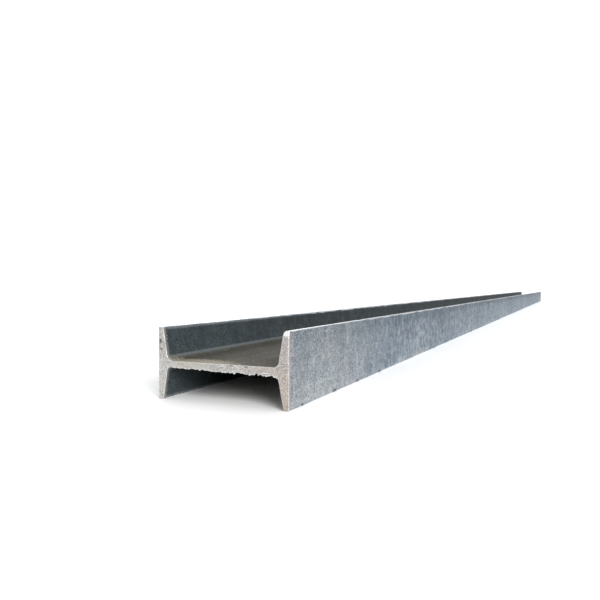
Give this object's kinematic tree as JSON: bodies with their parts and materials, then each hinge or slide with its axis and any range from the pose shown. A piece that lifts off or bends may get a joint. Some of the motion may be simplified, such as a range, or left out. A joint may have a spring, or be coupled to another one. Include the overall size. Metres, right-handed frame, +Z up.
{
  "type": "steel i-beam",
  "caption": "Straight hot-rolled steel I-section bar with tapered flanges, a thin web and square-sawn ends, for beams and columns.",
  "frame": {"origin": "centre of the footprint, on the floor under the flange toes, halfway along the bar", "axes": "+X along the bar, +Y across the web from flange to flange, +Z up along the flanges"},
  "size_m": [6, 0.2, 0.1],
  "materials": {
    "rolled_steel": "as rolled: dull blue-grey mill scale, mottled, with bare sawn ends"
  },
  "bodies": {
    "root": {"i_beam": "rolled_steel"}
  },
  "joints": []
}
